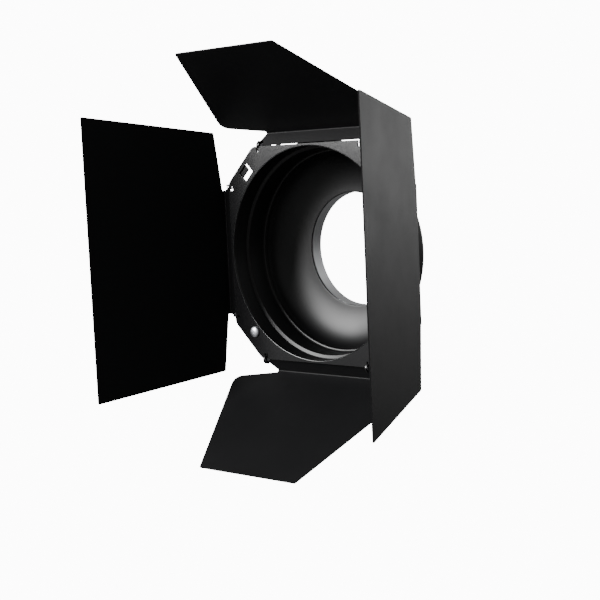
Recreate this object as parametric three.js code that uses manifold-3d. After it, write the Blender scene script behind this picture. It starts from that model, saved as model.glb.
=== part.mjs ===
// Four-leaf barn door attachment for a stage or studio spotlight.
// Millimetres, +Z up, the light leaves towards -Y. The origin is the centre of the bayonet's rear
// face, where the attachment locks onto a lamp. "Depth" is measured from the frame plate's front
// face towards the lamp.
import * as THREE from 'three';
import { mergeVertices } from 'three/addons/utils/BufferGeometryUtils.js';
import Module from 'manifold-3d';

const wasm = await Module();
wasm.setup();

// ---- driving dimensions -----------------------------------------------------------------------
const ROUND = 48;              // facets of the large round parts
const SMALL_ROUND = 10;        // facets of pins, screws and washers
const GAP = 0.3;               // clearance left between touching pieces

const OVERALL_DEPTH = 72;      // plate front to bayonet rear face

// spun cup
const CUP_WALL = 1.3;
const COLLAR_RADIUS = 90.5;    // inside of the front collar, whose edge the frame plate runs against
const COLLAR_FRONT = 1.9;
const RIM_RADIUS = 96.3;       // folded rim that the hooks and clips hold
const RIM_DEPTH = 15.3;
const RIM_THICKNESS = 3.5;
const STEP_DEPTH = 16.2;       // inside step from the collar down to the straight wall
const WALL_RADIUS = 88.3;
const SHOULDER_DEPTH = 35;     // step between the straight wall and the bowl
const SHOULDER_RADIUS = 87.7;
const BOWL_RADIUS = 85.5;
const BOWL_START = 37;
const BOWL_CENTRE = 44;        // radius at which the bowl's curve would lie flat
const THROAT_RADIUS = 49.4;
const BOWL_END = 58.2;

// bayonet ring
const RING_OUTER = 60.5;
const RING_THICKNESS = 2;
const RING_DISH = 1.7;         // the ring's front rises to follow the bowl
const NECK_OUTER = 53;
const LUG_RADIUS = 59;
const LUG_THICKNESS = 2.6;
const LUG_ANGLE = 42 * Math.PI / 180;
const LUG_COUNT = 3;
const RING_RIVET_CIRCLE = 57.1;
const RING_RIVET_COUNT = 4;
const RING_RIVET_START = 57.9; // the rivets end inside the cup's wall

// frame plate
const PLATE_THICKNESS = 1.5;
const PLATE_HALF = 92.3;
const PLATE_CHAMFER = 30.5;
const CHAMFER_ROUND = 9;
const PLATE_HOLE = 90.1;
const SLIT_WIDTH = 1.9;
const SLIT_LENGTH = 5;

// slots and hooks on the upper corners, clips on the lower corners; distances from the optical
// axis are measured along the diagonal, and offsets across it
const SLOT_INNER = 94.7;
const SLOT_OUTER = 105.3;
const SLOT_WIDTH = 12.4;
const SLOT_TAB_INNER = 100.4;  // tab left standing behind the outer part of each slot
const SLOT_TAB_OUTER = 107.3;
const SLOT_TAB_LOW = -9;
const SLOT_TAB_HIGH = 2.9;
const HOOK_OFFSET = 14;        // middle of a hook across the diagonal
const HOOK_WIDTH = 8;
const HOOK_OUTER = 104;
const HOOK_THICKNESS = 1.5;
const HOOK_TIP = 91.8;
const CLIP_SCREW_RADIUS = 97.6;
const CLIP_WIDTH = 11;
const CLIP_OUTER = 104;
const CLIP_THICKNESS = 1.2;
const CLIP_RELEASE = 5;        // travel of a clip that frees it from the rim
const SCREW_RADIUS = 2;
const SCREW_HEAD_RADIUS = 4.8;
const SCREW_HEAD_HEIGHT = 2.4;

// hinges
const HINGE_OFFSET = 93.4;     // hinge axis from the optical axis
const HINGE_DEPTH = 3.25;      // hinge axis behind the plate's front
const LEAF_EAR_LEFT = -56.9;   // left faces of a leaf's two hinge ears, from the middle of its edge
const LEAF_EAR_RIGHT = 57.3;
const EAR_THICKNESS = 1.5;
const EAR_RADIUS = 3.8;
const LEAF_EAR_RADIUS = 3.3;
const LEAF_EAR_TAIL = 5.2;     // each leaf ear reaches on below the hinge axis
const LEAF_EAR_TAIL_WIDTH = 4.6;
const PIN_RADIUS = 1.1;
const PIN_HEAD_RADIUS = 1.9;
const PIN_HEAD_HEIGHT = 0.9;
const EAR_SPACE = 0.9;         // between a leaf's ear and the plate's ear right of it, taken by a washer
const WASHER_THICKNESS = 0.3;

// leaves: half length of the bend, height of the turned-up flange, and the panel's outline
const SHEET = 1;
const FLANGE_START = -0.2;     // lower edge of the flange from the hinge axis
const FLANGE_TAPER_START = 3;  // the flange narrows beyond this height
const FINGER_PLACE = 33.5;     // fingers on the flange that run behind the plate's edge
const FINGER_WIDTH = 5;
const FINGER_LENGTH = 1.8;
const SKIRT_START = -42;       // a lower stretch of flange beside the left ears
const SKIRT_END = -51.9;
const SKIRT_LENGTH = 1.4;
const BEND_RADIUS = 2;         // outside of the bend between flange and panel
const SIDE_LEAF = {
  bendHalf: 55.4, flange: 13.7, innerHalf: 106.8, innerReach: 8.5,
  outerHalf: 123.9, outerReach: 128, innerRound: 1.5, outerRound: 1.5,
};
const CAP_LEAF = {
  bendHalf: 51.8, flange: 12.2, innerHalf: 96.5, innerReach: 12.7,
  outerHalf: 52.7, outerReach: 121, innerRound: 9, outerRound: 2,
};

// The four leaves, each turned about the optical axis to its own side of the plate and opened
// from straight ahead by its own angle.
const LEAVES = [
  { name: 'top', turn: 0, open: 31.7, shape: CAP_LEAF },
  { name: 'left', turn: 90, open: 23.9, shape: SIDE_LEAF },
  { name: 'bottom', turn: 180, open: 33.2, shape: CAP_LEAF },
  { name: 'right', turn: 270, open: 19.5, shape: SIDE_LEAF },
];

// ---- materials --------------------------------------------------------------------------------
const paint = (color, roughness) => new THREE.MeshStandardMaterial({ color, roughness, metalness: 0.1 });
const leafBlack = paint(0x161617, 0.85);
const plateBlack = paint(0x232325, 0.6);
const cupBlack = paint(0x18181a, 0.45);
const castAluminium = new THREE.MeshStandardMaterial({ color: 0x8d8f92, roughness: 0.5, metalness: 0.9 });
const zincSteel = new THREE.MeshStandardMaterial({ color: 0xc4c7c9, roughness: 0.3, metalness: 1 });
const springSteel = new THREE.MeshStandardMaterial({ color: 0x3a3b3d, roughness: 0.4, metalness: 0.9 });

// ---- joining and cutting ----------------------------------------------------------------------
function toSolid(geometry) {
  const bare = geometry.clone();
  bare.deleteAttribute('normal');
  bare.deleteAttribute('uv');
  const merged = mergeVertices(bare, 1e-5);
  return new wasm.Manifold(new wasm.Mesh({
    numProp: 3,
    vertProperties: new Float32Array(merged.attributes.position.array),
    triVerts: new Uint32Array(merged.index.array),
  }));
}

function toGeometry(solid) {
  const mesh = solid.getMesh();
  const geometry = new THREE.BufferGeometry();
  geometry.setAttribute('position', new THREE.BufferAttribute(mesh.vertProperties, 3));
  geometry.setIndex(new THREE.BufferAttribute(mesh.triVerts, 1));
  geometry.computeVertexNormals();
  return geometry;
}

function combine(base, added, removed = []) {
  let solid = toSolid(base);
  for (const piece of added) solid = solid.add(toSolid(piece));
  for (const piece of removed) solid = solid.subtract(toSolid(piece));
  return toGeometry(solid);
}

// ---- shape helpers ----------------------------------------------------------------------------
// A ring or disc about the optical axis: the profile is a list of [radius, depth] pairs.
function turned(profile, facets = ROUND) {
  const closed = [...profile, profile[0]].map(([radius, depth]) => new THREE.Vector2(radius, depth));
  return new THREE.LatheGeometry(closed.reverse(), facets);
}

// A pin whose profile starts and ends on its axis, which lies along Y.
function turnedPin(profile, facets = SMALL_ROUND) {
  return new THREE.LatheGeometry(profile.map(([radius, along]) => new THREE.Vector2(radius, along)), facets);
}

// A block between two corners.
function block(x0, x1, y0, y1, z0, z1) {
  const geometry = new THREE.BoxGeometry(x1 - x0, y1 - y0, z1 - z0);
  return geometry.translate((x0 + x1) / 2, (y0 + y1) / 2, (z0 + z1) / 2);
}

// A cylinder along Y between two depths.
function roundBar(radius, y0, y1, x = 0, z = 0, facets = SMALL_ROUND) {
  const geometry = new THREE.CylinderGeometry(radius, radius, y1 - y0, facets);
  return geometry.translate(x, (y0 + y1) / 2, z);
}

// A cylinder along X.
function crossBar(radius, x0, x1, y, z, facets = SMALL_ROUND) {
  const geometry = new THREE.CylinderGeometry(radius, radius, x1 - x0, facets);
  return geometry.rotateZ(Math.PI / 2).translate((x0 + x1) / 2, y, z);
}

// A closed outline whose corners are rounded: each corner is [x, z, radius].
function roundedShape(corners) {
  const shape = new THREE.Shape();
  corners.forEach(([x, z, radius], i) => {
    const at = new THREE.Vector2(x, z);
    const before = corners[(i + corners.length - 1) % corners.length];
    const after = corners[(i + 1) % corners.length];
    const back = new THREE.Vector2(before[0], before[1]).sub(at).normalize();
    const ahead = new THREE.Vector2(after[0], after[1]).sub(at).normalize();
    const setback = radius / Math.tan(back.angleTo(ahead) / 2);
    const start = at.clone().addScaledVector(back, setback);
    const end = at.clone().addScaledVector(ahead, setback);
    if (i === 0) shape.moveTo(start.x, start.y);
    else shape.lineTo(start.x, start.y);
    if (radius > 0) shape.quadraticCurveTo(at.x, at.y, end.x, end.y);
  });
  shape.closePath();
  return shape;
}

// An outline in X and Z, given thickness towards +Y from depth y0.
function sheet(shape, y0, thickness, curveSegments = 6) {
  const geometry = new THREE.ExtrudeGeometry(shape, { depth: thickness, bevelEnabled: false, curveSegments });
  return geometry.rotateX(Math.PI / 2).translate(0, y0 + thickness, 0);
}

// An outline in depth (y) and height (z), given width along X about x = middle.
function strip(points, width, middle = 0) {
  const shape = new THREE.Shape(points.map(([y, z]) => new THREE.Vector2(y, z)));
  const geometry = new THREE.ExtrudeGeometry(shape, { depth: width, bevelEnabled: false });
  const upright = new THREE.Matrix4().set(
    0, 0, 1, middle - width / 2,
    1, 0, 0, 0,
    0, 1, 0, 0,
    0, 0, 0, 1,
  );
  return geometry.applyMatrix4(upright);
}

// Points along an arc in a profile plane, angles in degrees.
function arc(cx, cy, rx, ry, from, to, steps) {
  return Array.from({ length: steps + 1 }, (_, i) => {
    const a = (from + (to - from) * i / steps) * Math.PI / 180;
    return [cx + rx * Math.cos(a), cy + ry * Math.sin(a)];
  });
}

const radians = (degrees) => degrees * Math.PI / 180;

// ---- the assembly -----------------------------------------------------------------------------
const assembly = new THREE.Group();
assembly.position.set(0, -OVERALL_DEPTH, 0);

function place(name, geometry, material, parent = assembly) {
  const mesh = new THREE.Mesh(geometry, material);
  mesh.name = name;
  parent.add(mesh);
  return mesh;
}

// A group turned about the optical axis, so that its local +Z points to one side or corner.
function side(turn) {
  const group = new THREE.Group();
  group.rotation.y = -radians(turn);
  assembly.add(group);
  return group;
}

// ---- cup --------------------------------------------------------------------------------------
const rimBack = RIM_DEPTH + RIM_THICKNESS;

function cup() {
  const collarOuter = COLLAR_RADIUS + CUP_WALL;
  const wallOuter = SHOULDER_RADIUS + CUP_WALL;
  const bowlWidth = BOWL_RADIUS - BOWL_CENTRE;
  const bowlDepth = BOWL_END - BOWL_START;
  const stepWidth = COLLAR_RADIUS - WALL_RADIUS;
  const inside = [
    [COLLAR_RADIUS, COLLAR_FRONT],
    [COLLAR_RADIUS, STEP_DEPTH],
    ...arc(WALL_RADIUS + stepWidth / 2, STEP_DEPTH + 1, stepWidth / 2, 1, 270, 180, 3),
    [SHOULDER_RADIUS, SHOULDER_DEPTH - 0.2],
    ...arc(SHOULDER_RADIUS - 1.2, SHOULDER_DEPTH, 1.2, 1.2, 10, 90, 3),
    ...arc(BOWL_RADIUS + 1, BOWL_START + 0.4, 1, 1.2, 250, 190, 2),
    ...arc(BOWL_CENTRE, BOWL_START + 0.4, bowlWidth, bowlDepth - 0.4, 8, 81, 8),
    [THROAT_RADIUS, BOWL_END],
  ];
  const outside = [
    [THROAT_RADIUS, BOWL_END + CUP_WALL],
    ...arc(BOWL_CENTRE, BOWL_START, bowlWidth + CUP_WALL, bowlDepth + CUP_WALL, 81.6, 8, 8),
    [BOWL_RADIUS + CUP_WALL, SHOULDER_DEPTH + 2.6],
    [wallOuter, SHOULDER_DEPTH + 1.6],
    [wallOuter, rimBack],
    ...arc(RIM_RADIUS - 1, rimBack - 1, 1, 1, 90, 0, 3),
    ...arc(RIM_RADIUS - 1, RIM_DEPTH + 1, 1, 1, 0, -90, 3),
    [collarOuter, RIM_DEPTH],
    [collarOuter, COLLAR_FRONT],
  ];
  return turned([...inside, ...outside]);
}

const ringRivets = Array.from({ length: RING_RIVET_COUNT }, (_, i) => {
  const a = (i + 0.5) * 2 * Math.PI / RING_RIVET_COUNT;
  return { x: RING_RIVET_CIRCLE * Math.cos(a), z: RING_RIVET_CIRCLE * Math.sin(a) };
});
const RING_RIVET_RADIUS = 1.6;
const ringFront = BOWL_END + CUP_WALL + GAP;
const ringBack = ringFront + RING_THICKNESS;
const rivetHoles = ringRivets.map(({ x, z }) => {
  return roundBar(RING_RIVET_RADIUS + GAP, RING_RIVET_START - GAP, ringBack + 2, x, z);
});

place('reflector_cup', combine(cup(), [], rivetHoles), cupBlack);

// ---- bayonet ring -----------------------------------------------------------------------------
function bayonetRing() {
  const bore = THROAT_RADIUS + GAP;
  const flanged = turned([
    [bore, ringFront],
    [bore, OVERALL_DEPTH],
    [NECK_OUTER, OVERALL_DEPTH],
    [NECK_OUTER, ringBack + 1],
    [NECK_OUTER + 1, ringBack],
    [RING_OUTER, ringBack],
    [RING_OUTER, ringFront - RING_DISH],
  ]);
  const lugs = Array.from({ length: LUG_COUNT }, (_, i) => {
    const middle = Math.PI / 2 + i * 2 * Math.PI / LUG_COUNT;
    const shape = new THREE.Shape();
    shape.absarc(0, 0, LUG_RADIUS, middle - LUG_ANGLE / 2, middle + LUG_ANGLE / 2, false);
    shape.absarc(0, 0, NECK_OUTER - 1, middle + LUG_ANGLE / 2, middle - LUG_ANGLE / 2, true);
    shape.closePath();
    return sheet(shape, OVERALL_DEPTH - LUG_THICKNESS - 0.01, LUG_THICKNESS, 10);
  });
  return combine(flanged, lugs, rivetHoles);
}
place('bayonet_ring', bayonetRing(), castAluminium);

ringRivets.forEach(({ x, z }, i) => {
  const head = ringBack + GAP;
  const profile = [
    [0, RING_RIVET_START],
    [RING_RIVET_RADIUS, RING_RIVET_START],
    [RING_RIVET_RADIUS, head],
    [2.9, head],
    [2.6, head + 0.9],
    [1.4, head + 1.3],
    [0, head + 1.3],
  ];
  const rivet = place(`bayonet_rivet_${i + 1}`, turnedPin(profile), zincSteel);
  rivet.position.set(x, 0, z);
});

// ---- frame plate ------------------------------------------------------------------------------
const CORNERS = { upper_left: 45, lower_left: 135, lower_right: 225, upper_right: 315 };

function turnTo(geometry, turn) {
  return geometry.rotateY(-radians(turn));
}

// A bracket spot-welded behind an upper corner, reaching back and in behind the cup's rim.
function hook(offset) {
  const back = PLATE_THICKNESS + GAP;
  const tipDepth = rimBack + GAP + 0.2;
  const wall = RIM_RADIUS + 1;
  return strip([
    [back, HOOK_OUTER],
    [back, wall],
    [tipDepth, wall],
    [tipDepth, HOOK_TIP],
    [tipDepth + HOOK_THICKNESS, HOOK_TIP],
    [tipDepth + HOOK_THICKNESS, wall + HOOK_THICKNESS],
    [back + HOOK_THICKNESS, wall + HOOK_THICKNESS],
    [back + HOOK_THICKNESS, HOOK_OUTER],
  ], HOOK_WIDTH, offset);
}

// Left faces of the two leaf ears; each has a plate ear on its right.
const leafEars = [LEAF_EAR_LEFT, LEAF_EAR_RIGHT];
const plateEars = leafEars.map((x) => x + SHEET + EAR_SPACE);
const slitMiddle = -LEAF_EAR_LEFT - SLIT_WIDTH / 2;

// One side's hinge ears, made for the upper side.

function hingeEars() {
  const root = PLATE_HALF - 6;
  return plateEars.flatMap((x) => [
    block(x, x + EAR_THICKNESS, 0, HINGE_DEPTH + EAR_RADIUS * 0.7, root, HINGE_OFFSET),
    crossBar(EAR_RADIUS, x, x + EAR_THICKNESS, HINGE_DEPTH, HINGE_OFFSET),
  ]);
}

// Relief slits at the ends of the hinge edge, the left one around the leaf's ear. The right-hand
// leaf ear turns in a notch of its own.
function edgeCuts() {
  const bottom = PLATE_HALF - SLIT_LENGTH;
  const top = PLATE_HALF + 1;
  const slits = [-slitMiddle, slitMiddle].map((x) => {
    return block(x - SLIT_WIDTH / 2, x + SLIT_WIDTH / 2, -5, 20, bottom, top);
  });
  const notch = block(LEAF_EAR_RIGHT - GAP, plateEars[1], -5, 20, bottom, top);
  return [...slits, notch];
}

function framePlate() {
  const straight = PLATE_HALF - PLATE_CHAMFER;
  const corners = [0, 90, 180, 270].flatMap((turn) => {
    const a = radians(turn);
    return [[-straight, PLATE_HALF], [straight, PLATE_HALF]].map(([x, z]) => [
      x * Math.cos(a) + z * Math.sin(a), -x * Math.sin(a) + z * Math.cos(a), CHAMFER_ROUND,
    ]);
  });
  const outline = roundedShape(corners);
  const hole = new THREE.Path().absarc(0, 0, PLATE_HOLE, 0, 2 * Math.PI);
  outline.holes.push(hole);
  const flat = sheet(outline, 0, PLATE_THICKNESS, ROUND / 2);

  const sides = LEAVES.map(({ turn }) => turn);
  const ears = sides.flatMap((turn) => hingeEars().map((g) => turnTo(g, turn)));
  const cuts = sides.flatMap((turn) => edgeCuts().map((g) => turnTo(g, turn)));
  const pinHoles = sides.flatMap((turn) => plateEars.map((x) => {
    return turnTo(crossBar(PIN_RADIUS + GAP, x - 0.5, x + EAR_THICKNESS + 0.5, HINGE_DEPTH, HINGE_OFFSET), turn);
  }));

  const upper = [CORNERS.upper_left, CORNERS.upper_right];
  const lower = [CORNERS.lower_left, CORNERS.lower_right];
  const slots = upper.map((turn) => {
    return turnTo(block(-SLOT_WIDTH / 2, SLOT_WIDTH / 2, -5, 5, SLOT_INNER, SLOT_OUTER), turn);
  });
  const slotTabs = upper.map((turn) => {
    const back = 2 * PLATE_THICKNESS;
    const tab = block(SLOT_TAB_LOW, SLOT_TAB_HIGH, PLATE_THICKNESS - 0.1, back, SLOT_TAB_INNER, SLOT_TAB_OUTER);
    return turnTo(tab, turn);
  });
  const screwHoles = lower.map((turn) => turnTo(
    roundBar(SCREW_RADIUS + GAP, -5, 5, 0, CLIP_SCREW_RADIUS), turn));

  const cut = combine(flat, [], [...cuts, ...slots]);
  return combine(cut, [...ears, ...slotTabs], [...pinHoles, ...screwHoles]);
}
place('frame_plate', framePlate(), plateBlack);

place('rim_hook_left', hook(HOOK_OFFSET), plateBlack, side(CORNERS.upper_left));
place('rim_hook_right', hook(-HOOK_OFFSET), plateBlack, side(CORNERS.upper_right));

// ---- clips on the lower corners ---------------------------------------------------------------
function clip() {
  const back = PLATE_THICKNESS + GAP;
  const tipDepth = rimBack + GAP + 0.2;
  const outer = CLIP_OUTER;
  const inner = outer - CLIP_THICKNESS;
  const body = strip([
    [back, CLIP_SCREW_RADIUS - 5],
    [back, outer],
    [tipDepth + CLIP_THICKNESS, outer],
    [tipDepth + CLIP_THICKNESS, HOOK_TIP],
    [tipDepth, HOOK_TIP],
    [tipDepth, inner],
    [back + CLIP_THICKNESS, inner],
    [back + CLIP_THICKNESS, CLIP_SCREW_RADIUS - 5],
  ], CLIP_WIDTH);
  // the slot lets the clip slide outwards past the screw
  const slotWide = SCREW_RADIUS + GAP;
  const slot = [
    block(-slotWide, slotWide, 0, 5, CLIP_SCREW_RADIUS - CLIP_RELEASE - 1, CLIP_SCREW_RADIUS),
    roundBar(slotWide, 0, 5, 0, CLIP_SCREW_RADIUS),
  ];
  return combine(body, [], slot);
}

function clipScrew() {
  const shankEnd = 9;
  return turnedPin([
    [0, -GAP - SCREW_HEAD_HEIGHT],
    ...arc(0, -GAP - 0.6, SCREW_HEAD_RADIUS, SCREW_HEAD_HEIGHT - 0.6, -80, 0, 6),
    [SCREW_HEAD_RADIUS, -GAP],
    [SCREW_RADIUS, -GAP],
    [SCREW_RADIUS, shankEnd - 0.5],
    [SCREW_RADIUS - 0.5, shankEnd],
    [0, shankEnd],
  ]);
}

// A flat ring about the screw or pin axis along Y.
function washer(bore, outer, y0, thickness) {
  return turned([[bore, y0], [bore, y0 + thickness], [outer, y0 + thickness], [outer, y0]], SMALL_ROUND);
}

function hexNut(bore, acrossFlats, y0, height) {
  const shape = new THREE.Shape();
  for (let i = 0; i < 6; i += 1) {
    const a = i * Math.PI / 3;
    const r = acrossFlats / Math.sqrt(3);
    if (i === 0) shape.moveTo(r * Math.cos(a), r * Math.sin(a));
    else shape.lineTo(r * Math.cos(a), r * Math.sin(a));
  }
  shape.closePath();
  shape.holes.push(new THREE.Path().absarc(0, 0, bore, 0, 2 * Math.PI));
  return sheet(shape, y0, height, SMALL_ROUND / 2);
}

for (const corner of ['left', 'right']) {
  const group = side(CORNERS[`lower_${corner}`]);
  const clipBack = PLATE_THICKNESS + GAP + CLIP_THICKNESS;
  place(`rim_clip_${corner}`, clip(), springSteel, group);
  const pieces = [
    place(`clip_screw_${corner}`, clipScrew(), zincSteel, group),
    place(`clip_washer_${corner}`, washer(SCREW_RADIUS + GAP, 4, clipBack + GAP, 0.6), zincSteel, group),
    place(`clip_nut_${corner}`, hexNut(SCREW_RADIUS + GAP, 7, clipBack + 2 * GAP + 0.6, 3), zincSteel, group),
  ];
  for (const piece of pieces) piece.position.z = CLIP_SCREW_RADIUS;
}

// ---- leaves -----------------------------------------------------------------------------------
// Each leaf is made straight ahead about its own hinge axis: flange along +Z, panel along -Y.
function leaf(shape) {
  const half = SHEET / 2;
  const top = shape.flange + half;
  const bend = strip([
    [half, shape.flange - BEND_RADIUS],
    ...arc(half - BEND_RADIUS, top - BEND_RADIUS, BEND_RADIUS, BEND_RADIUS, 0, 90, 4),
    [-3, top],
    [-3, top - SHEET],
    ...arc(half - BEND_RADIUS, top - BEND_RADIUS, BEND_RADIUS - SHEET, BEND_RADIUS - SHEET, 90, 0, 4),
    [half - SHEET, shape.flange - BEND_RADIUS],
  ], 2 * shape.bendHalf);

  const high = shape.flange - BEND_RADIUS + 0.2;
  const fingerEnd = -FINGER_LENGTH;
  const finger = (middle) => [
    [middle - FINGER_WIDTH / 2, FLANGE_START], [middle - FINGER_WIDTH / 2, fingerEnd],
    [middle + FINGER_WIDTH / 2, fingerEnd], [middle + FINGER_WIDTH / 2, FLANGE_START],
  ];
  const leftEnd = LEAF_EAR_LEFT;
  const rightEnd = LEAF_EAR_RIGHT + SHEET;
  const flangeOutline = new THREE.Shape([
    [leftEnd, FLANGE_START], [SKIRT_END, FLANGE_START],
    [SKIRT_END, -SKIRT_LENGTH], [SKIRT_START, -SKIRT_LENGTH], [SKIRT_START, FLANGE_START],
    ...finger(-FINGER_PLACE), ...finger(FINGER_PLACE),
    [rightEnd, FLANGE_START], [rightEnd, FLANGE_TAPER_START],
    [shape.bendHalf, high], [-shape.bendHalf, high], [leftEnd, FLANGE_TAPER_START],
  ].map(([x, z]) => new THREE.Vector2(x, z)));
  const flange = sheet(flangeOutline, -half, SHEET);

  const panelOutline = roundedShape([
    [shape.bendHalf, 2.8, 0],
    [shape.innerHalf, shape.innerReach, shape.innerRound],
    [shape.outerHalf, shape.outerReach, shape.outerRound],
    [-shape.outerHalf, shape.outerReach, shape.outerRound],
    [-shape.innerHalf, shape.innerReach, shape.innerRound],
    [-shape.bendHalf, 2.8, 0],
  ]);
  // drawn in X and Z, then laid forwards at the flange's height
  const panel = sheet(panelOutline, 0, SHEET, 8).rotateX(Math.PI / 2).translate(0, 0, shape.flange - half);

  const tail = LEAF_EAR_TAIL_WIDTH / 2;
  const ears = leafEars.flatMap((x) => [
    crossBar(LEAF_EAR_RADIUS, x, x + SHEET, 0, 0),
    block(x, x + SHEET, -LEAF_EAR_RADIUS * 0.8, half, 0, FLANGE_TAPER_START),
    block(x, x + SHEET, -tail, tail, -LEAF_EAR_TAIL, 0),
  ]);
  // room for the left plate ear with its washer, and for the pins' heads
  const earRight = plateEars[0] + EAR_THICKNESS + GAP;
  const rooms = [
    block(LEAF_EAR_LEFT + SHEET, earRight, -6, 6, -6, EAR_RADIUS + GAP),
    block(earRight - 0.1, earRight + PIN_HEAD_HEIGHT + GAP, -6, 6, -6, PIN_HEAD_RADIUS + GAP),
    block(LEAF_EAR_RIGHT - PIN_HEAD_HEIGHT - 2 * GAP, LEAF_EAR_RIGHT, -6, 6, -6, PIN_HEAD_RADIUS + GAP),
  ];
  const pinHoles = leafEars.map((x) => crossBar(PIN_RADIUS + GAP, x - 0.5, x + SHEET + 0.5, 0, 0));
  return combine(bend, [flange, panel, ...ears], [...pinHoles, ...rooms]);
}

// A pin from its manufactured head, left of the leaf's ear, to its formed head right of the
// plate's ear; its length is measured from the leaf ear's left face.
function hingePin() {
  const formed = SHEET + EAR_SPACE + EAR_THICKNESS + GAP;
  return turnedPin([
    [0, -GAP - PIN_HEAD_HEIGHT],
    [PIN_HEAD_RADIUS * 0.4, -GAP - PIN_HEAD_HEIGHT],
    [PIN_HEAD_RADIUS * 0.8, -GAP - PIN_HEAD_HEIGHT * 0.7],
    [PIN_HEAD_RADIUS, -GAP],
    [PIN_RADIUS, -GAP],
    [PIN_RADIUS, formed],
    [PIN_HEAD_RADIUS * 0.9, formed],
    [PIN_HEAD_RADIUS * 0.7, formed + PIN_HEAD_HEIGHT],
    [0, formed + PIN_HEAD_HEIGHT],
  ]);
}

for (const { name, turn, open, shape } of LEAVES) {
  const group = side(turn);
  const hinge = new THREE.Group();
  hinge.position.set(0, HINGE_DEPTH, HINGE_OFFSET);
  group.add(hinge);

  const swung = new THREE.Group();
  swung.rotation.x = -radians(open);
  hinge.add(swung);
  place(`leaf_${name}`, leaf(shape), leafBlack, swung);

  leafEars.forEach((x, i) => {
    const spacer = washer(PIN_RADIUS + GAP, 3, SHEET + (EAR_SPACE - WASHER_THICKNESS) / 2, WASHER_THICKNESS);
    const pieces = [
      place(`hinge_pin_${name}_${i + 1}`, hingePin(), zincSteel, hinge),
      place(`hinge_washer_${name}_${i + 1}`, spacer, springSteel, hinge),
    ];
    for (const piece of pieces) {
      piece.rotation.z = -Math.PI / 2;
      piece.position.x = x;
    }
  });
}

const barnDoor = new THREE.Group();
barnDoor.add(assembly);

export default barnDoor;
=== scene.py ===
# Looks for the four-leaf barn door attachment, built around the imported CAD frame.
# Metres, +Z up. The light leaves towards -Y, and the bayonet's rear face is at y = 0.
import math

import bmesh
import bpy
from mathutils import Matrix, Vector


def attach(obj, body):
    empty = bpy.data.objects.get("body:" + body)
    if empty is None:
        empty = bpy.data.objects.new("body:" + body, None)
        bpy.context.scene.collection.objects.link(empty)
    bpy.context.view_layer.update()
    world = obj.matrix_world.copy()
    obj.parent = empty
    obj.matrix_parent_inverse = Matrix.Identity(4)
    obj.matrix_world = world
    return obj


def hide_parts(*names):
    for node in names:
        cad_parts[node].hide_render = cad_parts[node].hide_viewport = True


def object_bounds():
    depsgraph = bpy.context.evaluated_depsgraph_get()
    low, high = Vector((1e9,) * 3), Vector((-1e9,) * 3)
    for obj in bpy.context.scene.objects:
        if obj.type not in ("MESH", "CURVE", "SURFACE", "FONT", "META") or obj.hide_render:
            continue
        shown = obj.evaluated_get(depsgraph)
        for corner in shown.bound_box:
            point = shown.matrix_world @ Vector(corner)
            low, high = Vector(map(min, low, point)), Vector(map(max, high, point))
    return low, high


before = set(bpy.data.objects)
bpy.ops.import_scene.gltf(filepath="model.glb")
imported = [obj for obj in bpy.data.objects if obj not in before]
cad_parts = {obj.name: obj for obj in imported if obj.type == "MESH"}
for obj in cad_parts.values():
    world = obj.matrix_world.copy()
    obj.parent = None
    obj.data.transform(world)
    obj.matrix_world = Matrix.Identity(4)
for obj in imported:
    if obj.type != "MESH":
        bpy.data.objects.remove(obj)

cad_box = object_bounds()
MM = 0.001

# ---- dimensions, in millimetres as in the CAD --------------------------------------------------
REAR = 72.0                    # plate front to bayonet rear face; depths are from the plate's front
GAP = 0.3

CUP_WALL = 1.3
COLLAR_RADIUS, COLLAR_FRONT = 90.5, 1.9
RIM_RADIUS, RIM_DEPTH, RIM_THICKNESS = 96.3, 15.3, 3.5
STEP_DEPTH, WALL_RADIUS = 16.2, 88.3
SHOULDER_DEPTH, SHOULDER_RADIUS, SHOULDER_ROUND = 35.0, 87.7, 2.0
BOWL_RADIUS, BOWL_START, BOWL_END = 85.5, 37.0, 58.2
BOWL_CENTRE, THROAT_RADIUS = 44.0, 49.4
RIM_BACK = RIM_DEPTH + RIM_THICKNESS

RING_OUTER, RING_THICKNESS, RING_DISH, NECK_OUTER = 60.5, 2.0, 1.7, 53.0
LUG_RADIUS, LUG_THICKNESS, LUG_ANGLE, LUG_COUNT = 59.0, 2.6, 42.0, 3
RIVET_CIRCLE, RIVET_COUNT = 57.1, 4
RING_FRONT = BOWL_END + CUP_WALL + GAP
RING_BACK = RING_FRONT + RING_THICKNESS

PLATE_THICKNESS, PLATE_HALF, PLATE_CHAMFER, CHAMFER_ROUND = 1.5, 92.3, 30.5, 9.0
PLATE_HOLE, HOLE_LIP = 90.1, 0.8
SLIT_WIDTH, SLIT_LENGTH = 1.9, 5.0
SLOT_INNER, SLOT_OUTER, SLOT_WIDTH = 94.7, 105.3, 12.4
SLOT_TAB_INNER, SLOT_TAB_OUTER, SLOT_TAB_LOW, SLOT_TAB_HIGH = 100.4, 107.3, -9.0, 2.9
HOOK_OFFSET, HOOK_WIDTH, HOOK_OUTER, HOOK_THICKNESS, HOOK_TIP = 14.0, 8.0, 104.0, 1.5, 91.8
CLIP_SCREW_RADIUS, CLIP_WIDTH, CLIP_OUTER = 97.6, 11.0, 104.0
CLIP_THICKNESS, CLIP_RELEASE = 1.2, 5.0
SCREW_RADIUS, SCREW_HEAD_RADIUS, SCREW_HEAD_HEIGHT = 2.0, 4.8, 2.4

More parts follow.
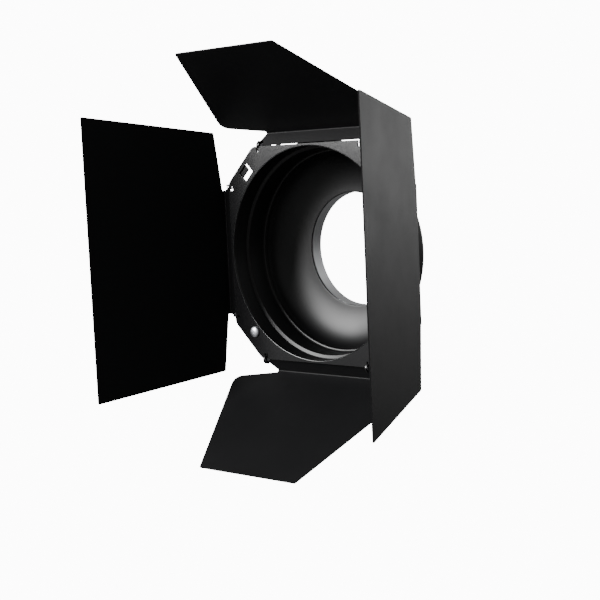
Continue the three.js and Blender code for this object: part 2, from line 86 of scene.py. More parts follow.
HINGE_OFFSET, HINGE_DEPTH = 93.4, 3.25
LEAF_EARS = (-56.9, 57.3)      # left faces of a leaf's two hinge ears
LEAF_EAR_RADIUS, LEAF_EAR_TAIL, LEAF_EAR_TAIL_WIDTH = 3.3, 5.2, 4.6
EAR_THICKNESS, EAR_RADIUS, EAR_SPACE = 1.5, 3.8, 0.9
PIN_RADIUS, PIN_HEAD_RADIUS, PIN_HEAD_HEIGHT, WASHER_THICKNESS = 1.1, 1.9, 0.9, 0.3

SHEET = 1.0
PLATE_EARS = [x + SHEET + EAR_SPACE for x in LEAF_EARS]
FLANGE_START, FLANGE_TAPER_START = -0.2, 3.0
FINGER_PLACE, FINGER_WIDTH, FINGER_LENGTH = 33.5, 5.0, 1.8
SKIRT_START, SKIRT_END, SKIRT_LENGTH = -42.0, -51.9, 1.4
BEND_RADIUS = 2.0
SIDE_LEAF = dict(bend_half=55.4, flange=13.7, inner_half=106.8, inner_reach=8.5,
                 outer_half=123.9, outer_reach=128.0, inner_round=1.5, outer_round=1.5)
CAP_LEAF = dict(bend_half=51.8, flange=12.2, inner_half=96.5, inner_reach=12.7,
                outer_half=52.7, outer_reach=121.0, inner_round=9.0, outer_round=2.0)
LEAVES = {"top": (0, 31.7, CAP_LEAF), "left": (90, 23.9, SIDE_LEAF),
          "bottom": (180, 33.2, CAP_LEAF), "right": (270, 19.5, SIDE_LEAF)}
CORNERS = {"upper_left": 45, "lower_left": 135, "lower_right": 225, "upper_right": 315}

CUP_EASE, SHOULDER_SINK, RIM_EASE = 0.6, 1.4, 1.2
THREAD_PITCH, THREAD_DEPTH, SCREW_LENGTH = 0.7, 0.28, 9.0
CROSS_LENGTH, CROSS_DEPTH, CROSS_WIDTH = 3.2, 0.7, 0.6
NUT_ACROSS_FLATS, NUT_THICKNESS = 7, 3
CLIP_WASHER_RADIUS, CLIP_WASHER_THICKNESS, HINGE_WASHER_RADIUS = 4.0, 0.7, 3.0
CLIP_FOOT = 5                  # how far the clip's foot reaches below its screw
PIN_HOLE_RADIUS = PIN_RADIUS + 0.1

FINE_ROUND = 256               # facets of the large round pieces
SMALL_ROUND = 40               # facets of pins, screws and washers

# ---- studio, in metres and degrees --------------------------------------------------------------
CAMERA_PLACE = (0.70846, -0.8809, 0.07029)
CAMERA_YAW, CAMERA_PITCH, CAMERA_ROLL = 41.79, -5.76, -2.67
CAMERA_LENS, CAMERA_SENSOR = 77.07, 36
BACKDROP_STRENGTH = 12         # white, as the camera sees it
FILL_STRENGTH = 0.34           # white, as it lights the object
FLOOR_HALF, FLOOR_DROP, FLOOR_TONE = 6.0, 0.02, 0.12


# ---- camera -----------------------------------------------------------------------------------
def make_camera():
    yaw, pitch, roll = (math.radians(a) for a in (CAMERA_YAW, CAMERA_PITCH, CAMERA_ROLL))
    level = math.cos(pitch)
    ahead = Vector((-math.sin(yaw) * level, math.cos(yaw) * level, math.sin(pitch)))
    level_right = ahead.cross(Vector((0, 0, 1))).normalized()
    level_up = level_right.cross(ahead)
    right = level_right * math.cos(roll) + level_up * math.sin(roll)
    up = -level_right * math.sin(roll) + level_up * math.cos(roll)
    data = bpy.data.cameras.new("camera")
    data.sensor_width = CAMERA_SENSOR
    data.lens = CAMERA_LENS
    camera = bpy.data.objects.new("camera", data)
    turn = Matrix((right, up, -ahead)).transposed().to_4x4()
    camera.matrix_world = Matrix.Translation(CAMERA_PLACE) @ turn
    bpy.context.scene.collection.objects.link(camera)
    bpy.context.scene.camera = camera


make_camera()


# ---- materials --------------------------------------------------------------------------------
# Paint with a fine grain in the coat and, for wear, a slow change of gloss.
def paint(name, color, roughness, grain_size, grain_depth, specular=0.5, gloss_change=0.08):
    material = bpy.data.materials.new(name)
    material.use_nodes = True
    nodes, links = material.node_tree.nodes, material.node_tree.links
    shader = nodes["Principled BSDF"]
    shader.inputs["Base Color"].default_value = (*color, 1)
    shader.inputs["Specular IOR Level"].default_value = specular
    place = nodes.new("ShaderNodeTexCoord")
    grain = nodes.new("ShaderNodeTexNoise")
    grain.inputs["Scale"].default_value = 1 / (grain_size * MM)
    grain.inputs["Detail"].default_value = 3
    links.new(place.outputs["Object"], grain.inputs["Vector"])
    bump = nodes.new("ShaderNodeBump")
    bump.inputs["Strength"].default_value = 0.5
    bump.inputs["Distance"].default_value = grain_depth * MM
    links.new(grain.outputs["Fac"], bump.inputs["Height"])
    links.new(bump.outputs["Normal"], shader.inputs["Normal"])
    patches = nodes.new("ShaderNodeTexNoise")
    patches.inputs["Scale"].default_value = 22
    patches.inputs["Detail"].default_value = 5
    links.new(place.outputs["Object"], patches.inputs["Vector"])
    spread = nodes.new("ShaderNodeMapRange")
    spread.inputs["To Min"].default_value = roughness - gloss_change
    spread.inputs["To Max"].default_value = roughness + gloss_change
    links.new(patches.outputs["Fac"], spread.inputs["Value"])
    links.new(spread.outputs["Result"], shader.inputs["Roughness"])
    return material


def bare_metal(name, color, roughness, grain_size=0.4):
    material = paint(name, color, roughness, grain_size, 0.01, gloss_change=0.06)
    material.node_tree.nodes["Principled BSDF"].inputs["Metallic"].default_value = 1
    return material


MATERIALS = {
    "leaf_paint": paint("leaf_paint", (0.0036, 0.0036, 0.004), 0.5, 0.35, 0.03, specular=0.15),
    "frame_paint": paint("frame_paint", (0.002, 0.002, 0.0024), 0.22, 0.5, 0.01,
                         specular=0.5, gloss_change=0.02),
    "cup_paint": paint("cup_paint", (0.0015, 0.0015, 0.0018), 0.42, 0.6, 0.012,
                       specular=0.4, gloss_change=0.03),
    "cast_aluminium": bare_metal("cast_aluminium", (0.55, 0.56, 0.57), 0.38, 0.8),
    "zinc_steel": bare_metal("zinc_steel", (0.72, 0.74, 0.78), 0.36),
    "spring_steel": bare_metal("spring_steel", (0.12, 0.12, 0.125), 0.34),
}


# ---- mesh building: every shape is drawn in millimetres ---------------------------------------
def finished(name, mesh, matrix, body, replaced, slot, smooth_angle=32):
    mesh.transform(Matrix.Diagonal((MM, MM, MM, 1)) @ Matrix.Translation((0, -REAR, 0)) @ matrix)
    mesh.name = name
    mesh.materials.clear()
    mesh.materials.append(MATERIALS[slot])
    mesh.shade_smooth()
    mesh.set_sharp_from_angle(angle=math.radians(smooth_angle))
    piece = bpy.data.objects.new(name, mesh)
    bpy.context.scene.collection.objects.link(piece)
    weighted = piece.modifiers.new("weighted", "WEIGHTED_NORMAL")
    weighted.keep_sharp = True
    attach(piece, body)
    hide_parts(*replaced)


def baked(mesh, *modifiers):
    """The mesh after a list of (kind, settings) modifiers."""
    work = bpy.data.objects.new("work", mesh)
    bpy.context.scene.collection.objects.link(work)
    for kind, settings in modifiers:
        modifier = work.modifiers.new(kind, kind)
        for key, value in settings.items():
            setattr(modifier, key, value)
    shape = work.evaluated_get(bpy.context.evaluated_depsgraph_get())
    result = bpy.data.meshes.new_from_object(shape)
    bpy.data.objects.remove(work)
    return result


def joined(meshes):
    bm = bmesh.new()
    for mesh in meshes:
        bm.from_mesh(mesh)
    result = bpy.data.meshes.new("joined")
    bm.to_mesh(result)
    bm.free()
    return result


def moved(mesh, matrix):
    mesh.transform(matrix)
    return mesh


def lathe(profile, facets=FINE_ROUND):
    """Turns a closed [radius, depth] profile about Y; points on the axis become single vertices."""
    bm = bmesh.new()
    angles = [2 * math.pi * i / facets for i in range(facets)]
    rings = []
    for radius, depth in profile:
        if radius < 1e-6:
            rings.append([bm.verts.new((0, depth, 0))])
        else:
            rings.append([bm.verts.new((radius * math.cos(a), depth, radius * math.sin(a)))
                          for a in angles])
    for first, second in zip(rings, rings[1:] + rings[:1]):
        for i in range(facets):
            j = (i + 1) % facets
            corners = [first[i % len(first)], first[j % len(first)],
                       second[j % len(second)], second[i % len(second)]]
            corners = list(dict.fromkeys(corners))
            if len(corners) > 2:
                bm.faces.new(corners)
    bmesh.ops.recalc_face_normals(bm, faces=bm.faces)
    mesh = bpy.data.meshes.new("lathe")
    bm.to_mesh(mesh)
    bm.free()
    return mesh


def arc(cx, cy, rx, ry, start, end, steps):
    angles = [math.radians(start + (end - start) * i / steps) for i in range(steps + 1)]
    return [(cx + rx * math.cos(a), cy + ry * math.sin(a)) for a in angles]


def rounded(corners, steps=8):
    """Points of a closed outline whose corners are [x, y, radius]."""
    points = []
    for i, (x, y, radius) in enumerate(corners):
        at = Vector((x, y))
        back = (Vector(corners[i - 1][:2]) - at).normalized()
        ahead = (Vector(corners[(i + 1) % len(corners)][:2]) - at).normalized()
        if radius <= 0:
            points.append(tuple(at))
            continue
        setback = radius / math.tan(back.angle(ahead) / 2)
        start, end = at + back * setback, at + ahead * setback
        for k in range(steps + 1):
            t = k / steps
            points.append(tuple(start * (1 - t) ** 2 + at * 2 * t * (1 - t) + end * t ** 2))
    return points


def rectangle(x0, x1, z0, z1, radius=0.0):
    return rounded([(x0, z0, radius), (x1, z0, radius), (x1, z1, radius), (x0, z1, radius)], 5)


def circle(radius, x=0.0, z=0.0, facets=SMALL_ROUND):
    return [(x + p, z + q) for p, q in arc(0, 0, radius, radius, 0, 360, facets)[:-1]]


def signed_area(points):
    return sum(a[0] * b[1] - b[0] * a[1] for a, b in zip(points, points[1:] + points[:1])) / 2


def plate(outline, holes, y0, thickness, edge=0.2):
    """Sheet cut to an outline with holes in X and Z, its edges eased, from depth y0 towards +Y."""
    curve = bpy.data.curves.new("outline", "CURVE")
    curve.dimensions = "2D"
    curve.fill_mode = "BOTH"
    curve.extrude = thickness / 2 - edge
    curve.bevel_depth = edge
    curve.bevel_resolution = 2
    curve.offset = -edge
    for points, wanted in [(outline, 1), *((hole, -1) for hole in holes)]:
        ordered = points if signed_area(points) * wanted > 0 else points[::-1]
        spline = curve.splines.new("POLY")
        spline.points.add(len(ordered) - 1)
        for point, (x, z) in zip(spline.points, ordered):
            point.co = (x, z, 0, 1)
        spline.use_cyclic_u = True
    work = bpy.data.objects.new("outline", curve)
    bpy.context.scene.collection.objects.link(work)
    shape = work.evaluated_get(bpy.context.evaluated_depsgraph_get())
    mesh = bpy.data.meshes.new_from_object(shape)
    bpy.data.objects.remove(work)
    upright = Matrix(((1, 0, 0, 0), (0, 0, -1, y0 + thickness / 2), (0, 1, 0, 0), (0, 0, 0, 1)))
    mesh.transform(upright)
    bm = bmesh.new()
    bm.from_mesh(mesh)
    bmesh.ops.remove_doubles(bm, verts=bm.verts, dist=0.001)
    bmesh.ops.recalc_face_normals(bm, faces=bm.faces)
    bm.to_mesh(mesh)
    bm.free()
    return mesh


# Turns a sheet drawn as (depth, height) so that its thickness lies along X.
ON_EDGE = Matrix(((0, 1, 0, 0), (1, 0, 0, 0), (0, 0, 1, 0), (0, 0, 0, 1)))


def edge_plate(outline, holes, x0, thickness, edge=0.15):
    return moved(plate(outline, holes, x0, thickness, edge), ON_EDGE)


def box(x0, x1, y0, y1, z0, z1):
    bm = bmesh.new()
    bmesh.ops.create_cube(bm, size=1)
    mesh = bpy.data.meshes.new("box")
    bm.to_mesh(mesh)
    bm.free()
    size = Matrix.Diagonal((x1 - x0, y1 - y0, z1 - z0, 1))
    return moved(mesh, Matrix.Translation(((x0 + x1) / 2, (y0 + y1) / 2, (z0 + z1) / 2)) @ size)


def without(mesh, cutters):
    """The mesh with other closed meshes cut away."""
    cutter = bpy.data.objects.new("cutter", joined(cutters))
    bpy.context.scene.collection.objects.link(cutter)
    settings = {"operation": "DIFFERENCE", "solver": "EXACT", "use_self": True, "object": cutter}
    result = baked(mesh, ("BOOLEAN", settings))
    bpy.data.objects.remove(cutter)
    return result


def eased(mesh, width):
    settings = {"width": width, "segments": 2, "limit_method": "ANGLE",
                "angle_limit": math.radians(35), "use_clamp_overlap": True}
    return baked(mesh, ("BEVEL", settings))


def side(turn):
    return Matrix.Rotation(-math.radians(turn), 4, "Y")


# ---- cup and bayonet --------------------------------------------------------------------------
def make_cup():
    collar_outer = COLLAR_RADIUS + CUP_WALL
    wall_outer = SHOULDER_RADIUS + CUP_WALL
    bowl_width = BOWL_RADIUS - BOWL_CENTRE
    bowl_depth = BOWL_END - BOWL_START
    step = COLLAR_RADIUS - WALL_RADIUS
    lip = CUP_WALL / 2
    profile = [
        *arc(COLLAR_RADIUS + lip, COLLAR_FRONT + lip, lip, lip, 270, 180, 5),
        *arc(COLLAR_RADIUS + CUP_EASE, STEP_DEPTH - 0.4, CUP_EASE, CUP_EASE, 180, 135, 3),
        *arc(WALL_RADIUS - CUP_EASE, STEP_DEPTH + step - CUP_EASE, CUP_EASE, CUP_EASE, -45, 0, 4),
        (SHOULDER_RADIUS, SHOULDER_DEPTH - 0.9),
        *arc(SHOULDER_RADIUS - SHOULDER_ROUND, SHOULDER_DEPTH + SHOULDER_SINK - SHOULDER_ROUND,
             SHOULDER_ROUND, SHOULDER_ROUND, 5, 90, 10),
        *arc(BOWL_RADIUS + CUP_EASE, BOWL_START + 0.4, CUP_EASE, 1, 265, 185, 6),
        *arc(BOWL_CENTRE, BOWL_START + 0.4, bowl_width, bowl_depth - 0.4, 3, 80, 32),
        *arc(THROAT_RADIUS + lip, BOWL_END + lip - 0.2, lip, lip, 260, 100, 6),
        *arc(BOWL_CENTRE, BOWL_START, bowl_width + CUP_WALL, bowl_depth + CUP_WALL, 80, 4, 28),
        *arc(wall_outer - RIM_EASE, SHOULDER_DEPTH + 1.8, RIM_EASE, RIM_EASE, 90, 0, 6),
        *arc(wall_outer + 0.8, RIM_BACK + 0.8, 0.8, 0.8, 180, 270, 5),
        *arc(RIM_RADIUS - RIM_EASE, RIM_BACK - RIM_EASE, RIM_EASE, RIM_EASE, 90, 0, 6),
        *arc(RIM_RADIUS - RIM_EASE, RIM_DEPTH + RIM_EASE, RIM_EASE, RIM_EASE, 0, -90, 6),
        *arc(collar_outer + CUP_EASE, RIM_DEPTH - CUP_EASE, CUP_EASE, CUP_EASE, 90, 180, 4),
        *arc(COLLAR_RADIUS + lip, COLLAR_FRONT + lip, lip, lip, 0, -90, 5)[:-1],
    ]
    finished("cup", lathe(profile), Matrix(), "cup", ["reflector_cup"], "cup_paint", 50)


def rivet_places():
    for i in range(RIVET_COUNT):
        a = (i + 0.5) * 2 * math.pi / RIVET_COUNT
        yield i + 1, Matrix.Translation((RIVET_CIRCLE * math.cos(a), 0, RIVET_CIRCLE * math.sin(a)))


def make_bayonet():
    bore = THROAT_RADIUS + GAP
    lug_front = REAR - LUG_THICKNESS
    body = lathe([
        (bore + 0.4, RING_FRONT), (bore, RING_FRONT + 0.4), (bore, REAR - 0.8), (bore + 0.8, REAR),
        (NECK_OUTER - 0.6, REAR), (NECK_OUTER, REAR - 0.6),
        *arc(NECK_OUTER + 1, RING_BACK + 1, 1, 1, 180, 270, 5),
        (RING_OUTER - 0.4, RING_BACK), (RING_OUTER, RING_BACK - 0.4),
        (RING_OUTER, RING_FRONT - RING_DISH + 0.3), (RING_OUTER - 0.3, RING_FRONT - RING_DISH),
    ])
    meshes = [body]
    for i in range(LUG_COUNT):
        middle = 90 + i * 360 / LUG_COUNT
        start, end = middle - LUG_ANGLE / 2, middle + LUG_ANGLE / 2
        outline = arc(0, 0, LUG_RADIUS, LUG_RADIUS, start, end, 24)
        outline += arc(0, 0, NECK_OUTER - 1, NECK_OUTER - 1, end, start, 24)
        meshes.append(plate(outline, [], lug_front, LUG_THICKNESS - 0.02, 0.3))
    finished("bayonet", joined(meshes), Matrix(), "cup", ["bayonet_ring"], "cast_aluminium", 40)
    head = RING_BACK + GAP / 2
    for number, matrix in rivet_places():
        profile = [(0, head), (2.8, head), (2.9, head + 0.2),
                   *arc(0, head + 0.3, 2.85, 1.1, 5, 90, 7)]
        profile[-1] = (0, head + 1.4)
        finished(f"rivet_{number}", lathe(profile, SMALL_ROUND), matrix, "cup",
                 [f"bayonet_rivet_{number}"], "zinc_steel")


# ---- frame plate ------------------------------------------------------------------------------
def plate_outline():
    """The plate's edge, with the relief slits and the notch for each right-hand leaf ear."""
    straight = PLATE_HALF - PLATE_CHAMFER
    bottom = PLATE_HALF - SLIT_LENGTH
    far = -LEAF_EARS[0]
    cuts = [(-far, SLIT_WIDTH - far), (far - SLIT_WIDTH, far), (LEAF_EARS[1] - GAP, PLATE_EARS[1])]
    one_side = [(-straight, PLATE_HALF, CHAMFER_ROUND)]
    for x0, x1 in cuts:
        one_side += [(x0, PLATE_HALF, 0), (x0, bottom, 0.6), (x1, bottom, 0.6), (x1, PLATE_HALF, 0)]
    one_side.append((straight, PLATE_HALF, CHAMFER_ROUND))
    corners = []
    for turn in (0, 90, 180, 270):
        c, s = math.cos(math.radians(turn)), math.sin(math.radians(turn))
        corners += [(x * c + z * s, -x * s + z * c, r) for x, z, r in one_side]
    return rounded(corners)


def ear_outline(radius, foot_near, foot_far, foot_drop):
    """A hinge ear as (depth, height): a round end about the hinge axis standing on a foot."""
    crown = arc(HINGE_DEPTH, HINGE_OFFSET, radius, radius, -35, 200, 24)
    return crown + [
        (foot_near, HINGE_OFFSET - foot_drop * 0.5), (foot_near, HINGE_OFFSET - foot_drop),
        (foot_far, HINGE_OFFSET - foot_drop)]


def slot_outline(turn):
    c, s = math.cos(math.radians(turn)), math.sin(math.radians(turn))
    points = rectangle(-SLOT_WIDTH / 2, SLOT_WIDTH / 2, SLOT_INNER, SLOT_OUTER, 0.5)
    return [(x * c + z * s, -x * s + z * c) for x, z in points]


def make_frame():
    upper = [CORNERS["upper_left"], CORNERS["upper_right"]]
    holes = [circle(PLATE_HOLE + HOLE_LIP, facets=FINE_ROUND)]
    holes += [slot_outline(turn) for turn in upper]
    lip = lathe([
        *arc(PLATE_HOLE + HOLE_LIP, HOLE_LIP, HOLE_LIP, HOLE_LIP, 270, 180, 8),
        (PLATE_HOLE, PLATE_THICKNESS), (PLATE_HOLE + HOLE_LIP + 0.3, PLATE_THICKNESS),
        (PLATE_HOLE + HOLE_LIP + 0.3, 0),
    ])
    meshes = [plate(plate_outline(), holes, 0, PLATE_THICKNESS, 0.1), lip]
    for turn, _, _ in LEAVES.values():
        hole = [circle(PIN_HOLE_RADIUS, HINGE_DEPTH, HINGE_OFFSET, 24)]
        for x0 in PLATE_EARS:
            ear = ear_outline(EAR_RADIUS, 0.1, HINGE_DEPTH + 2.4, 5.5)
            meshes.append(moved(edge_plate(ear, hole, x0, EAR_THICKNESS), side(turn)))
    for turn in upper:
        tab = rectangle(SLOT_TAB_LOW, SLOT_TAB_HIGH, SLOT_TAB_INNER, SLOT_TAB_OUTER, 0.8)
        tab_sheet = plate(tab, [], PLATE_THICKNESS - 0.1, PLATE_THICKNESS, 0.2)
        meshes.append(moved(tab_sheet, side(turn)))
    finished("frame", joined(meshes), Matrix(), "frame", ["frame_plate"], "frame_paint")


def make_hooks():
    back = PLATE_THICKNESS + 0.1
    tip_far = RIM_BACK + GAP + 0.2 + HOOK_THICKNESS
    wall = RIM_RADIUS + 1
    for name, across in (("left", HOOK_OFFSET), ("right", -HOOK_OFFSET)):
        outline = rounded([
            (back, HOOK_OUTER, 0), (back, wall, 0), (tip_far - HOOK_THICKNESS, wall, 0.3),
            (tip_far - HOOK_THICKNESS, HOOK_TIP, 0), (tip_far, HOOK_TIP, 0.4),
            (tip_far, wall + HOOK_THICKNESS, 1.4),
            (back + HOOK_THICKNESS, wall + HOOK_THICKNESS, 0.4),
            (back + HOOK_THICKNESS, HOOK_OUTER, 0)])
        hook = edge_plate(outline, [], across - HOOK_WIDTH / 2, HOOK_WIDTH)
        finished(f"rim_hook_{name}_piece", hook, side(CORNERS[f"upper_{name}"]), "frame",
                 [f"rim_hook_{name}"], "frame_paint")


# ---- clips and their screws -------------------------------------------------------------------
def make_clip(name):
    back = PLATE_THICKNESS + GAP
    tip_far = RIM_BACK + GAP + 0.2 + CLIP_THICKNESS
    outline = rounded([
        (back, CLIP_SCREW_RADIUS - CLIP_FOOT, 0),
        (back, CLIP_OUTER, 1.6), (tip_far, CLIP_OUTER, 1.6),
        (tip_far, HOOK_TIP, 0.4), (tip_far - CLIP_THICKNESS, HOOK_TIP, 0.4),
        (tip_far - CLIP_THICKNESS, CLIP_OUTER - CLIP_THICKNESS, 0.4),
        (back + CLIP_THICKNESS, CLIP_OUTER - CLIP_THICKNESS, 0.4),
        (back + CLIP_THICKNESS, CLIP_SCREW_RADIUS - CLIP_FOOT, 0)])
    clip = edge_plate(outline, [], -CLIP_WIDTH / 2, CLIP_WIDTH, 0.2)
    wide = SCREW_RADIUS + GAP
    inner = CLIP_SCREW_RADIUS - CLIP_RELEASE - 1
    slot = rounded([(-wide, inner, 0), (wide, inner, 0),
                    (wide, CLIP_SCREW_RADIUS + wide, wide * 0.9),
                    (-wide, CLIP_SCREW_RADIUS + wide, wide * 0.9)])
    clip = without(clip, [plate(slot, [], 0, 5, 0.05)])
    finished(f"rim_clip_{name}_piece", clip, side(CORNERS[f"lower_{name}"]), f"rim_clip_{name}",
             [f"rim_clip_{name}"], "spring_steel")


def make_screw(name, matrix):
    top = -GAP / 3
    crown = top - SCREW_HEAD_HEIGHT
    profile = [(0, crown),
               *arc(0, top - 0.5, SCREW_HEAD_RADIUS, SCREW_HEAD_HEIGHT - 0.5, -82, -3, 14),
               (SCREW_HEAD_RADIUS, top - 0.3), (SCREW_HEAD_RADIUS - 0.25, top), (SCREW_RADIUS, top)]
    root = SCREW_RADIUS - THREAD_DEPTH
    for i in range(int((SCREW_LENGTH - 1.5) / THREAD_PITCH)):
        y = 1 + i * THREAD_PITCH
        profile += [(root, y + 0.1), (SCREW_RADIUS, y + 0.35), (root, y + 0.6)]
    profile += [(SCREW_RADIUS - 0.5, SCREW_LENGTH), (0, SCREW_LENGTH)]
    head = lathe(profile, 48)
    half, wide = CROSS_LENGTH / 2, CROSS_WIDTH / 2
    cross = [moved(box(-half, half, crown - 1, crown + CROSS_DEPTH, -wide, wide), side(-turn))
             for turn in (35, 125)]
    head = without(head, cross)
    finished(f"clip_screw_{name}_piece", head, matrix, "frame",
             [f"clip_screw_{name}"], "zinc_steel", 40)


def make_fastening(name):
    matrix = side(CORNERS[f"lower_{name}"]) @ Matrix.Translation((0, 0, CLIP_SCREW_RADIUS))
    make_screw(name, matrix)
    clip_back = PLATE_THICKNESS + GAP + CLIP_THICKNESS
    bore = circle(SCREW_RADIUS + GAP / 2)
    disc = circle(CLIP_WASHER_RADIUS)
    ring = plate(disc, [bore], clip_back + GAP / 2, CLIP_WASHER_THICKNESS, 0.12)
    finished(f"clip_washer_{name}_piece", ring, matrix, "frame",
             [f"clip_washer_{name}"], "zinc_steel")
    corner_radius = NUT_ACROSS_FLATS / math.sqrt(3)
    hexagon = [(x, z, 0.25) for x, z in circle(corner_radius, facets=6)]
    nut = plate(rounded(hexagon, 4), [bore], clip_back + 2 * GAP + 0.6, NUT_THICKNESS, 0.3)
    finished(f"clip_nut_{name}_piece", nut, matrix, "frame", [f"clip_nut_{name}"], "zinc_steel")


# ---- leaves -----------------------------------------------------------------------------------
def leaf_path(shape):
    """Rows across the sheet, from the flange's foot to the leaf's free edge.
    Each is (left end, right end, depth, height, direction that the sheet runs in)."""
    flange, bend_half = shape["flange"], shape["bend_half"]
    radius = BEND_RADIUS - SHEET / 2
    up = (0, 1)
    left, right = LEAF_EARS[0], LEAF_EARS[1] + SHEET
    rows = [(left, right, 0, -FINGER_LENGTH, up), (left, right, 0, FLANGE_TAPER_START, up),
            (-bend_half, bend_half, 0, flange - radius, up)]
    for i in range(1, 9):
        a = math.radians(90 * i / 8)
        rows.append((-bend_half, bend_half, -radius + radius * math.cos(a),
                     flange - radius + radius * math.sin(a), (-math.sin(a), math.cos(a))))
    corners = [(bend_half, 2.8, 0),
               (shape["inner_half"], shape["inner_reach"], shape["inner_round"]),
               (shape["outer_half"], shape["outer_reach"], shape["outer_round"]),
               (0, shape["outer_reach"], 0), (0, 2.8, 0)]
    edge = rounded(corners, 10)[:-2]
    rows += [(-half, half, -reach, flange, (-1, 0)) for half, reach in edge]
    return rows


def leaf_sheet(shape):
    bm = bmesh.new()
    rings = []
    for left, right, y, z, (dy, dz) in leaf_path(shape):
        out_y, out_z = dz * SHEET / 2, -dy * SHEET / 2
        rings.append([bm.verts.new((x, y + s * out_y, z + s * out_z))
                      for x, s in ((left, 1), (right, 1), (right, -1), (left, -1))])
    for first, second in zip(rings, rings[1:]):
        for i in range(4):
            j = (i + 1) % 4
            bm.faces.new((first[i], first[j], second[j], second[i]))
    bm.faces.new(rings[0])
    bm.faces.new(rings[-1])
    bmesh.ops.recalc_face_normals(bm, faces=bm.faces)
    mesh = bpy.data.meshes.new("leaf")
    bm.to_mesh(mesh)
    bm.free()
    return mesh


def leaf_cutters():
    """What is cut from the flange's foot: between its fingers, and about the plate's ears."""
    below = FLANGE_START
    finger = FINGER_WIDTH / 2
    cuts = [(-FINGER_PLACE + finger, FINGER_PLACE - finger, below),
            (FINGER_PLACE + finger, LEAF_EARS[1] + SHEET + 1, below),
            (SKIRT_START, -FINGER_PLACE - finger, below),
            (SKIRT_END - 0.01, SKIRT_START, -SKIRT_LENGTH),
            (LEAF_EARS[0] - 1, SKIRT_END, below)]
    ear_right = PLATE_EARS[0] + EAR_THICKNESS + GAP
    rooms = [(LEAF_EARS[0] + SHEET, ear_right, EAR_RADIUS + GAP),
             (ear_right - 0.1, ear_right + PIN_HEAD_HEIGHT + GAP, PIN_HEAD_RADIUS + GAP),
             (LEAF_EARS[1] - PIN_HEAD_HEIGHT - 2 * GAP, LEAF_EARS[1], PIN_HEAD_RADIUS + GAP)]
    return [box(x0, x1, -6, 6, -6, top) for x0, x1, top in cuts + rooms]


def make_leaf(name, turn, opened, shape):
    meshes = [eased(without(leaf_sheet(shape), leaf_cutters()), 0.22)]
    corner = 0.8
    tail = LEAF_EAR_TAIL_WIDTH / 2 - corner
    foot = corner - LEAF_EAR_TAIL
    pin_hole = circle(PIN_HOLE_RADIUS, facets=24)
    for x0 in LEAF_EARS:
        outline = arc(-tail, foot, corner, corner, 180, 270, 4)
        outline += arc(tail, foot, corner, corner, 270, 360, 4)
        outline += arc(0, 0, LEAF_EAR_RADIUS, LEAF_EAR_RADIUS, -40, 30, 10)
        outline += [(SHEET / 2, FLANGE_TAPER_START), (-LEAF_EAR_RADIUS * 0.8, FLANGE_TAPER_START)]
        outline += arc(0, 0, LEAF_EAR_RADIUS, LEAF_EAR_RADIUS, 150, 220, 10)
        meshes.append(edge_plate(outline, [pin_hole], x0, SHEET))
    hinge = side(turn) @ Matrix.Translation((0, HINGE_DEPTH, HINGE_OFFSET))
    swung = hinge @ Matrix.Rotation(-math.radians(opened), 4, "X")
    finished(f"leaf_{name}_piece", joined(meshes), swung, f"leaf_{name}",
             [f"leaf_{name}"], "leaf_paint")
    for number, x in enumerate(LEAF_EARS, 1):
        across = hinge @ Matrix.Translation((x, 0, 0)) @ Matrix.Rotation(-math.pi / 2, 4, "Z")
        make_pin(f"{name}_{number}", across)


def make_pin(name, matrix):
    head = -GAP / 3
    formed = SHEET + EAR_SPACE + EAR_THICKNESS + GAP / 3
    profile = [(0, head - PIN_HEAD_HEIGHT),
               *arc(0, head - 0.2, PIN_HEAD_RADIUS, PIN_HEAD_HEIGHT - 0.2, -85, 0, 8),
               (PIN_HEAD_RADIUS, head), (PIN_RADIUS, head),
               (PIN_RADIUS, formed), (PIN_HEAD_RADIUS * 0.9, formed),
               (PIN_HEAD_RADIUS * 0.85, formed + PIN_HEAD_HEIGHT * 0.6),
               (PIN_HEAD_RADIUS * 0.6, formed + PIN_HEAD_HEIGHT), (0, formed + PIN_HEAD_HEIGHT)]
    finished(f"hinge_pin_{name}_piece", lathe(profile, SMALL_ROUND), matrix, "frame",
             [f"hinge_pin_{name}"], "zinc_steel")
    spacer = SHEET + (EAR_SPACE - WASHER_THICKNESS) / 2 - 0.1
    hole = circle(PIN_HOLE_RADIUS)
    washer = plate(circle(HINGE_WASHER_RADIUS), [hole], spacer, WASHER_THICKNESS + 0.2, 0.1)
    finished(f"hinge_washer_{name}_piece", washer, matrix, "frame",
             [f"hinge_washer_{name}"], "spring_steel")


make_cup()
make_bayonet()
make_frame()
make_hooks()
for corner in ("left", "right"):
    make_clip(corner)
    make_fastening(corner)
for leaf_name, (leaf_turn, leaf_open, leaf_shape) in LEAVES.items():
    make_leaf(leaf_name, leaf_turn, leaf_open, leaf_shape)


# ---- world, floor and lights ------------------------------------------------------------------
def seen_and_lit(nodes, links, seen, lit):
    """One shader where the camera sees it directly, another for the light it gives the object."""
    path = nodes.new("ShaderNodeLightPath")
    mix = nodes.new("ShaderNodeMixShader")
    links.new(path.outputs["Is Camera Ray"], mix.inputs["Fac"])
    links.new(lit.outputs[0], mix.inputs[1])
    links.new(seen.outputs[0], mix.inputs[2])
    return mix.outputs["Shader"]


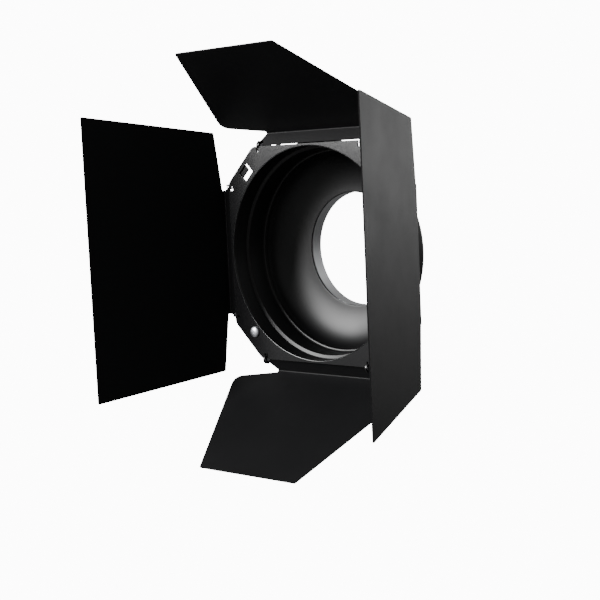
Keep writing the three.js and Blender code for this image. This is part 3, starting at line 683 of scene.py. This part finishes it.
def make_world():
    world = bpy.data.worlds.new("studio")
    bpy.context.scene.world = world
    world.use_nodes = True
    nodes, links = world.node_tree.nodes, world.node_tree.links
    nodes.clear()
    out = nodes.new("ShaderNodeOutputWorld")
    seen = nodes.new("ShaderNodeBackground")
    seen.inputs["Strength"].default_value = BACKDROP_STRENGTH
    seen.inputs["Color"].default_value = (1, 1, 1, 1)
    fill = nodes.new("ShaderNodeBackground")
    fill.inputs["Color"].default_value = (1, 1, 1, 1)
    fill.inputs["Strength"].default_value = FILL_STRENGTH
    links.new(seen_and_lit(nodes, links, seen, fill), out.inputs["Surface"])


def make_floor():
    mesh = bpy.data.meshes.new("floor")
    half, height = FLOOR_HALF, cad_box[0][2] - FLOOR_DROP
    corners = [(-half, -half), (half, -half), (half, half), (-half, half)]
    mesh.from_pydata([(x, y, height) for x, y in corners], [], [(0, 1, 2, 3)])
    material = bpy.data.materials.new("floor")
    material.use_nodes = True
    nodes, links = material.node_tree.nodes, material.node_tree.links
    shader = nodes["Principled BSDF"]
    shader.inputs["Base Color"].default_value = (FLOOR_TONE, FLOOR_TONE, FLOOR_TONE, 1)
    shader.inputs["Roughness"].default_value = 0.9
    glow = nodes.new("ShaderNodeEmission")
    glow.inputs["Strength"].default_value = BACKDROP_STRENGTH
    out = nodes["Material Output"]
    links.new(seen_and_lit(nodes, links, glow, shader), out.inputs["Surface"])
    mesh.materials.append(material)
    floor = bpy.data.objects.new("floor", mesh)
    bpy.context.scene.collection.objects.link(floor)


def area_light(name, place, target, width, height, power):
    data = bpy.data.lights.new(name, "AREA")
    data.energy = power
    data.shape = "RECTANGLE"
    data.size = width
    data.size_y = height
    light = bpy.data.objects.new(name, data)
    light.location = place
    light.rotation_euler = (Vector(target) - Vector(place)).to_track_quat("-Z", "Y").to_euler()
    bpy.context.scene.collection.objects.link(light)


make_world()
make_floor()
area_light("softbox_left", (-1.2, -1.85, 0.82), (0, -0.07, 0), 0.8, 1.1, 120)
area_light("softbox_back", (0.15, 1.9, 0.42), (0.12, -0.12, 0), 1.1, 1.1, 11)
